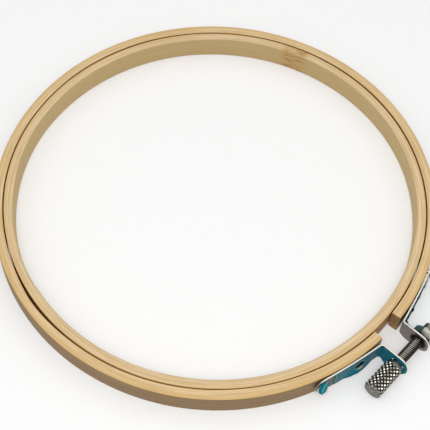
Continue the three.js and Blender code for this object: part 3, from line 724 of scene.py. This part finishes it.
teal_film = protective_film("blue-green polyethylene film", cling="#4a7f8b", loose_tint="#007890",
                            stretched_and_sheen="#84b9ae")
LIFTS = {"left": left_lift, "right": right_lift}
tail = leg_travel(FILM_TORN_ALONG) + TEAR_RAGGED
tear_middle = Vector((leg_travel(SPARE_HOLE_ALONG), LEG_MIDDLE))
for side_name, (side, body) in SIDES.items():
    lift = LIFTS[side_name]
    outline = bracket_outline(FILM_TORN_ALONG, FILM_INSET, square_tail=True)
    corner = max(range(len(outline)), key=lambda i: outline[i].x - outline[i].y)
    outline[corner:corner + 1] = ragged([outline[corner], outline[corner + 1]], seed=5.0)
    tear = hole(leg_travel(SPARE_HOLE_ALONG), LEG_MIDDLE, TEAR_RADIUS, steps=18)
    tear = ragged(tear + tear[:1], seed=8.0)
    screw_hole = hole(ear_travel(SCREW_AXIS_Y), MID_HEIGHT, SCREW_HOLE_IN_FILM)
    blank = sheet_blank([outline, tear, screw_hole], FILM, FILM_ROUNDING, 1)
    slice_blank(blank, bend_cuts + steps_between(0, tail, FILM_GRID), (1, 0, 0))
    slice_blank(blank, steps_between(ear_travel(EAR_TIP_Y), -bend_length, FILM_GRID), (1, 0, 0))
    slice_blank(blank, steps_between(0, PLATE_TOP, FILM_GRID), (0, 1, 0))
    looseness = blank.verts.layers.float.new("loose")
    pale_and_sheen = blank.verts.layers.float.new("stretched_and_sheen")
    for vert in blank.verts:
        lifted = lift(*vert.co)[2] - PLATE - FILM_STAND_OFF
        vert[looseness] = min(1.0, lifted / LOOSE_LIFT)
        if vert.co.x < -bend_length:
            vert[looseness] = max(vert[looseness], EAR_LOOSENESS)
        from_end = (tail - vert.co.x) / STRETCHED
        from_tear = ((vert.co.xy - tear_middle).length - TEAR_RADIUS) / TEAR_STRETCHED
        vert[pale_and_sheen] = STRETCHED_PALE * clamp(1 - min(from_end, from_tear))
        # Painted sheen: the nut side's leg is paler, in the same attribute as the stretched film's paleness
        if side_name == "right":
            on_leg = clamp(1 + (vert.co.x + bend_length) / STRETCHED)
            vert[pale_and_sheen] = max(vert[pale_and_sheen], RIGHT_SHEEN * on_leg)
    name = side_name + "_film_sheet"
    film = add_piece(name, bend_blank(blank, name, side, lift), teal_film)
    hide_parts(side_name + "_film")
    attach(film, body)

# Rivets: one through each leg's tail and the wood, with a high round head outside and its end spread flat in
# the wood. Plated steel, headed cold, so the dome is smooth.
RIVET_HEAD_RADIUS, RIVET_HEAD_HEIGHT = 2.2, 2.2
RIVET_SHANK_RADIUS = 1.0
RIVET_END_RADIUS, RIVET_END_DEPTH, RIVET_END_THICKNESS = 1.8, 3.9, 0.6
RIVET_CLEAR = 0.02
RIVET_STEPS, DOME_STEPS = 48, 12
RIVET_SHARP_EDGE = 35
OIL_SPOT = 1.1


def join_rings(shape, rings, closed=False):
    """Skins each ring of vertices to the next, and the last to the first where closed. A ring of one vertex
    is a point on the axis."""
    for lower, upper in zip(rings, rings[1:] + rings[:1] if closed else rings[1:]):
        count = max(len(lower), len(upper))
        for i in range(count):
            j = (i + 1) % count
            corners = [(upper, i), (lower, i), (lower, j), (upper, j)]
            shape.faces.new(list(dict.fromkeys(ring[place % len(ring)] for ring, place in corners)))


def rivet_mesh(name):
    """Turned round the Z axis from (radius, height) points that start and end on the axis."""
    profile = [(0, -RIVET_END_DEPTH), (RIVET_END_RADIUS, -RIVET_END_DEPTH),
               (RIVET_END_RADIUS, RIVET_END_THICKNESS - RIVET_END_DEPTH),
               (RIVET_SHANK_RADIUS, RIVET_END_THICKNESS - RIVET_END_DEPTH), (RIVET_SHANK_RADIUS, RIVET_CLEAR),
               (RIVET_HEAD_RADIUS, RIVET_CLEAR)]
    for step in range(1, DOME_STEPS):
        angle = math.pi / 2 * step / DOME_STEPS
        profile.append((RIVET_HEAD_RADIUS * math.cos(angle), RIVET_HEAD_HEIGHT * math.sin(angle)))
    profile.append((0, RIVET_HEAD_HEIGHT))
    turned = bmesh.new()
    turns = [2 * math.pi * i / RIVET_STEPS for i in range(RIVET_STEPS)]
    rings = []
    for radius, height in profile:
        used = turns if radius else turns[:1]
        rings.append([turned.verts.new((radius * math.cos(a), radius * math.sin(a), height)) for a in used])
    join_rings(turned, rings)
    return mesh_of(turned, name, RIVET_SHARP_EDGE)


def leg_frame(along, height, side):
    """Places what is drawn round the Z axis square to the leg, with its origin on the plate's outer face."""
    point, out = strip_place(leg_travel(along))
    place = point + out * PLATE
    onward = Vector((-out.y, out.x))
    columns = (Vector((side * onward.x, onward.y, 0)), Vector((0, 0, side)), Vector((side * out.x, out.y, 0)))
    turned = Matrix([[column[i] for column in columns] for i in range(3)]).to_4x4()
    origin = Vector((side * place.x, place.y, height)) * MM + RING_CENTRE
    return Matrix.Translation(origin) @ turned @ Matrix.Scale(MM, 4)


def plated_steel(name, bright, grime_and_shade):
    """Steel with thin bright nickel on it: it mirrors softly, with random dark blotches of oil, and painted
    shade carried by each vertex darkens it towards the dark colour in grooves and on faces the light misses.
    """
    made, tree = new_material(name)
    painted_shade = node(tree, "Attribute", attribute_name="painted_shade").outputs["Fac"]
    place_in = node(tree, "TexCoord").outputs["Object"]
    blotch = node(tree, "TexNoise", {"Vector": place_in, "Scale": 1 / (OIL_SPOT * MM), "Detail": 4.0,
                                     "Roughness": 0.65})
    dirt_and_shade = node(tree, "Math", {0: blotch, 1: 0.5, 2: -0.2}, operation="MULTIPLY_ADD")
    # Random oil blotches, plus the painted shade each vertex carries
    dirt_and_shade = node(tree, "Math", {0: dirt_and_shade, 1: painted_shade}, operation="ADD", use_clamp=True)
    colour = node(tree, "Mix", {0: dirt_and_shade, 6: linear(bright), 7: linear(grime_and_shade)}, data_type="RGBA")
    rough = node(tree, "MapRange", {"Value": dirt_and_shade, "To Min": 0.2, "To Max": 0.5})
    bump = node(tree, "Bump", {"Strength": 0.2, "Distance": 0.02 * MM, "Height": blotch})
    nickel = node(tree, "BsdfPrincipled", {"Base Color": colour, "Metallic": 1.0, "Roughness": rough,
                                           "Normal": bump})
    node(tree, "OutputMaterial", {"Surface": nickel})
    return made


headed_nickel = plated_steel("nickel-plated steel, cold-headed", bright="#b9aeb0", grime_and_shade="#7d7576")
for side_name, (side, body) in SIDES.items():
    name = side_name + "_rivet_round_head"
    mesh = rivet_mesh(name)
    mesh.transform(leg_frame(RIVET_ALONG, MID_HEIGHT, side))
    rivet = add_piece(name, mesh, headed_nickel)
    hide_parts(side_name + "_rivet")
    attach(rivet, body)

# Film scrap: a torn strip of the same film, folded along its length and caught over the knob side's rivet head.
# Its fold and its two edges are curves through three points, in the rivet's own millimetres. A painted
# highlight runs along the fold.
SCRAP_FOLD = (Vector((-1.35, -3.8, 0.7)), Vector((1.2, -1.9, 1.5)), Vector((1.15, 0.75, 2.05)))
SCRAP_UPPER_EDGE = (Vector((0.2, -4.0, 0.2)), Vector((2.4, -2.1, 0.4)), Vector((1.8, 0.5, 1.5)))
SCRAP_LOWER_EDGE = (Vector((-2.3, -2.7, 1.0)), Vector((0.2, -1.0, 2.0)), Vector((1.0, 0.95, 2.05)))
SCRAP_CLEAR, SCRAP_LOWEST = 0.1, 0.2
SCRAP_STEPS = 20
SCRAP_CRUMPLE, SCRAP_CRUMPLE_RATE, SCRAP_CRUMPLES_AT = 0.16, 1.2, Vector((4, 0, 7))
SCRAP_HIGHLIGHT_AT, SCRAP_HIGHLIGHT = 0.05, (-4, 1.25)


def curve_point(curve, share):
    """A point of the curve through the first and last of three points, drawn towards the middle one."""
    first, middle, last = curve
    return first.lerp(middle, share).lerp(middle.lerp(last, share), share)


def ramp(value, line):
    """A straight rise or fall, given by its slope and its start, held between 0 and 1."""
    slope, start = line
    return clamp(slope * value + start)


scrap = bmesh.new()
scrap_flat = scrap.verts.layers.float_vector.new("flat")
scrap_loose = scrap.verts.layers.float.new("loose")
scrap_highlight = scrap.verts.layers.float.new("stretched_and_sheen")
grid = []
for i in range(SCRAP_STEPS + 1):
    share = i / SCRAP_STEPS
    fold = curve_point(SCRAP_FOLD, share)
    row = []
    for j in range(-SCRAP_STEPS, SCRAP_STEPS + 1):
        across = j / SCRAP_STEPS
        edge = SCRAP_UPPER_EDGE if across < 0 else SCRAP_LOWER_EDGE
        point = fold.lerp(curve_point(edge, share), abs(across))
        crumple = noise.noise_vector(point * SCRAP_CRUMPLE_RATE + SCRAP_CRUMPLES_AT)
        point += crumple * SCRAP_CRUMPLE * (0.4 + abs(across))
        point.z = max(point.z, SCRAP_LOWEST)
        point *= max(1.0, (RIVET_HEAD_RADIUS + SCRAP_CLEAR) / point.length)
        vert = scrap.verts.new(point)
        vert[scrap_flat] = point * MM
        vert[scrap_loose] = 1.0
        # Painted highlight along the fold, in the film's pale colour
        vert[scrap_highlight] = ramp(abs(across - SCRAP_HIGHLIGHT_AT), SCRAP_HIGHLIGHT)
        row.append(vert)
    grid.append(row)
for lower, upper in zip(grid, grid[1:]):
    for i in range(2 * SCRAP_STEPS):
        scrap.faces.new((lower[i], lower[i + 1], upper[i + 1], upper[i]))
scrap_mesh = mesh_of(scrap, "left_rivet_film_scrap")
scrap_mesh.transform(leg_frame(RIVET_ALONG, MID_HEIGHT, -1))
scrap_film = protective_film("blue-green polyethylene film, crumpled", cling="#2f8f90", loose_tint="#067a8e",
                             stretched_and_sheen="#64a2a3")
scrap_piece = add_piece("left_rivet_film_scrap", scrap_mesh, scrap_film)
thickness = scrap_piece.modifiers.new("film thickness", "SOLIDIFY")
thickness.thickness = FILM * MM
thickness.offset = 0
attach(scrap_piece, "left_side")

# Thumbscrew: knob, collar and M4 shank turned from one bar, the knob rolled with a diamond knurl, all
# nickel-plated. It hangs in the brackets' ears by its collar and its nut. Painted shade darkens the knurl's
# valleys, the thread's roots and sides, the knob's end, chamfers and back, and the collar, and leaves a painted
# highlight along the thread's upper side.
KNOB_OUTER_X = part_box("thumbscrew")[0].x / MM
SCREW_END_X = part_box("thumbscrew")[1].x / MM
KNOB_RADIUS, KNOB_LENGTH, KNOB_CHAMFER = 3.55, 12.0, 0.45
KNOB_END_RADII = (0.5, 1.2, 2.0, 2.7, KNOB_RADIUS - KNOB_CHAMFER - 0.12)
KNOB_END_STEP, KNOB_ROWS = 0.03, 150
KNURLS_ROUND, KNURL_ROWS, KNURL_DEPTH = 12, 6.5, 0.5
# How much painted shade darkens each part of the screw
KNURL_VALLEY_SHADE, THREAD_FLANK, THREAD_ROOT_SHADE = (2.0, -0.68), (1.9, -0.15), (2.6, -0.9)
END_FACE_SHADE, CHAMFER_SHADE, KNOB_BACK_SHADE, COLLAR_SHADE = 0.72, 0.87, 0.3, 0.66
COLLAR_RADIUS, COLLAR_LENGTH = 2.9, 1.4
COLLAR_END = KNOB_LENGTH + COLLAR_LENGTH
COLLAR_START_STEP, COLLAR_EDGE = 0.02, ((0.12, 0.0), (0.03, 0.04), (0.0, 0.14))
TURNING_STEP = 0.05
THREAD_LENGTH = SCREW_END_X - KNOB_OUTER_X - COLLAR_END
THREAD_RADIUS, THREAD_PITCH, THREAD_DEPTH = 2.0, 0.7, 0.4
THREAD_RUNOUT, THREAD_ROWS_PER_TURN = 0.5, 12
THREAD_SIDE_SHADE, THREAD_HIGHLIGHT_AT, THREAD_HIGHLIGHT_SHARPNESS = 0.86, math.radians(80), 6
TIP_CHAMFER = 0.5
SCREW_COLUMNS = 240
SCREW_SHARP_EDGE = 38


def wave(value):
    """A triangle wave: 0 at whole numbers and 1 half way between."""
    return 1 - abs(value % 1 * 2 - 1)


def knob_surface(x, angle):
    """Radius and painted shade of the knurled barrel, x from its outer end: dark in the knurl's valleys and on
    the chamfers.
    """
    turns = angle / (2 * math.pi) * KNURLS_ROUND
    rows = (x - KNOB_CHAMFER) / (KNOB_LENGTH - 2 * KNOB_CHAMFER) * KNURL_ROWS
    valley = 1 - min(wave(turns + rows), wave(turns - rows))
    fade = clamp(min(x, KNOB_LENGTH - x) / KNOB_CHAMFER)
    barrel = KNOB_RADIUS - KNOB_CHAMFER * (1 - fade)
    # Painted shade in the knurl's valleys, and on the chamfers below
    grime_and_shade = ramp(valley, KNURL_VALLEY_SHADE)
    return barrel - KNURL_DEPTH * valley * fade, max(grime_and_shade * fade, CHAMFER_SHADE * (1 - fade))


def thread_surface(x, angle):
    """Radius and painted shade of the right-hand thread, x from the knob's outer end: dark in the roots and on
    the sides, with a painted highlight along the upper side.
    """
    x -= COLLAR_END
    height = wave(x / THREAD_PITCH - angle / (2 * math.pi))
    start = clamp(x / THREAD_RUNOUT)
    tip = max(0.0, x - (THREAD_LENGTH - TIP_CHAMFER)) / TIP_CHAMFER
    radius = THREAD_RADIUS - THREAD_DEPTH * (1 - ramp(height, THREAD_FLANK)) * start
    radius = min(radius, THREAD_RADIUS - TIP_CHAMFER * tip)
    # Painted shade on the thread's sides and roots, with a painted highlight left along its upper side
    grime_and_shade = THREAD_SIDE_SHADE * (1 - max(0, math.cos(angle - THREAD_HIGHLIGHT_AT)) ** THREAD_HIGHLIGHT_SHARPNESS)
    root_shade = ramp(1 - height, THREAD_ROOT_SHADE)
    return radius, grime_and_shade + (1 - grime_and_shade) * root_shade * start


def plain_turned(radius, grime_and_shade):
    return lambda x, angle: (radius, grime_and_shade)


def turned_rows():
    """The screw's rows from the knob's outer face to the tip: x, and what gives its radius and painted shade.
    """
    rows = [(0.0, plain_turned(0.0, 0.0))]
    # Painted shade on the knob's end face; the knob's back and the collar get it below
    rows += [(0.0, plain_turned(radius, END_FACE_SHADE)) for radius in KNOB_END_RADII]
    for i in range(KNOB_ROWS + 1):
        rows.append((KNOB_END_STEP + (KNOB_LENGTH - 2 * KNOB_END_STEP) * i / KNOB_ROWS, knob_surface))
    rows.append((KNOB_LENGTH, plain_turned(COLLAR_RADIUS + TURNING_STEP, KNOB_BACK_SHADE)))
    rows.append((KNOB_LENGTH + COLLAR_START_STEP, plain_turned(COLLAR_RADIUS, COLLAR_SHADE)))
    for before_end, lost in COLLAR_EDGE:
        rows.append((COLLAR_END - before_end, plain_turned(COLLAR_RADIUS - lost, COLLAR_SHADE)))
    rows.append((COLLAR_END, plain_turned(THREAD_RADIUS + TURNING_STEP, COLLAR_SHADE)))
    count = round(THREAD_LENGTH / THREAD_PITCH * THREAD_ROWS_PER_TURN)
    for i in range(count + 1):
        rows.append((COLLAR_END + THREAD_LENGTH * i / count, thread_surface))
    rows.append((COLLAR_END + THREAD_LENGTH, plain_turned(0.0, 0.0)))
    return rows


def turned_ring(shape, surface, columns):
    """A ring of vertices round the X axis, with its painted shade. surface gives x, the radius and the painted
    shade at an angle."""
    shade_layer = shape.verts.layers.float["painted_shade"]
    ring = []
    for i in range(columns):
        angle = 2 * math.pi * i / columns
        x, radius, grime_and_shade = surface(angle)
        vert = shape.verts.new((x, radius * math.cos(angle), radius * math.sin(angle)))
        vert[shade_layer] = grime_and_shade
        ring.append(vert)
        if radius == 0:
            break
    return ring


def on_screw_axis(x):
    """Places what is drawn along the X axis on the screw's axis, from x on."""
    origin = Vector((x, SCREW_AXIS_Y, MID_HEIGHT)) * MM + RING_CENTRE
    return Matrix.Translation(origin) @ Matrix.Scale(MM, 4)


screw = bmesh.new()
screw.verts.layers.float.new("painted_shade")
screw_rings = []
for x, surface in turned_rows():
    screw_rings.append(turned_ring(screw, lambda angle: (x, *surface(x, angle)), SCREW_COLUMNS))
join_rings(screw, screw_rings)
screw_mesh = mesh_of(screw, "thumbscrew_turned", SCREW_SHARP_EDGE)
screw_mesh.transform(on_screw_axis(KNOB_OUTER_X))
# Its near-black colour is reached mostly through painted shade
turned_nickel = plated_steel("nickel-plated steel, turned and knurled", bright="#e4dfd1", grime_and_shade="#0e0c09")
thumbscrew = add_piece("thumbscrew_turned", screw_mesh, turned_nickel)
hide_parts("thumbscrew")
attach(thumbscrew, "screw")

# Nut: a plain M4 hexagon nut, chamfered on both faces and nickel-plated, drawn against the far ear by the
# screw. It sits loosely on the thread and tilts a little with the ear as the ring opens.
NUT_ACROSS_FLATS, NUT_TURN = 7.0, math.radians(20)
NUT_CHAMFER_SLOPE = math.tan(math.radians(30))
NUT_FACE_RADIUS = NUT_ACROSS_FLATS / 2 - 0.05
NUT_BORE, NUT_COUNTERSINK = 2.24, 0.2
NUT_MOUTH = NUT_BORE + NUT_COUNTERSINK
NUT_LOW, NUT_HIGH = (corner.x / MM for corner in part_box("clamp_nut"))
NUT_HEIGHT = NUT_HIGH - NUT_LOW
NUT_COLUMNS = 120
NUT_SHARP_EDGE = 20


def nut_side(angle):
    """Distance from the axis to the hexagon's side."""
    across = (angle - NUT_TURN) % (math.pi / 3) - math.pi / 6
    return NUT_ACROSS_FLATS / 2 / math.cos(across)


def nut_chamfer(angle):
    return (nut_side(angle) - NUT_FACE_RADIUS) * NUT_CHAMFER_SLOPE


# The third value is painted shade: full in the bore and on the face against the ear, fading along the flats to
# none on the outer face
nut_surfaces = (
    lambda angle: (NUT_COUNTERSINK, NUT_BORE, 1.0),
    lambda angle: (0.0, NUT_MOUTH, 1.0),
    lambda angle: (0.0, NUT_FACE_RADIUS, 1.0),
    lambda angle: (nut_chamfer(angle), nut_side(angle), 0.9),
    lambda angle: (NUT_HEIGHT / 2, nut_side(angle), 0.45),
    lambda angle: (NUT_HEIGHT - nut_chamfer(angle), nut_side(angle), 0.0),
    lambda angle: (NUT_HEIGHT, NUT_FACE_RADIUS, 0.0),
    lambda angle: (NUT_HEIGHT, NUT_MOUTH, 0.5),
    lambda angle: (NUT_HEIGHT - NUT_COUNTERSINK, NUT_BORE, 1.0),
)
nut = bmesh.new()
nut.verts.layers.float.new("painted_shade")
join_rings(nut, [turned_ring(nut, surface, NUT_COLUMNS) for surface in nut_surfaces], closed=True)
nut_mesh = mesh_of(nut, "clamp_nut_hexagon", NUT_SHARP_EDGE)
nut_mesh.transform(on_screw_axis(NUT_LOW))
clamp_nut = add_piece("clamp_nut_hexagon", nut_mesh, turned_nickel)
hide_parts("clamp_nut")
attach(clamp_nut, "right_side")

bpy.context.scene.view_settings.view_transform = "Standard"
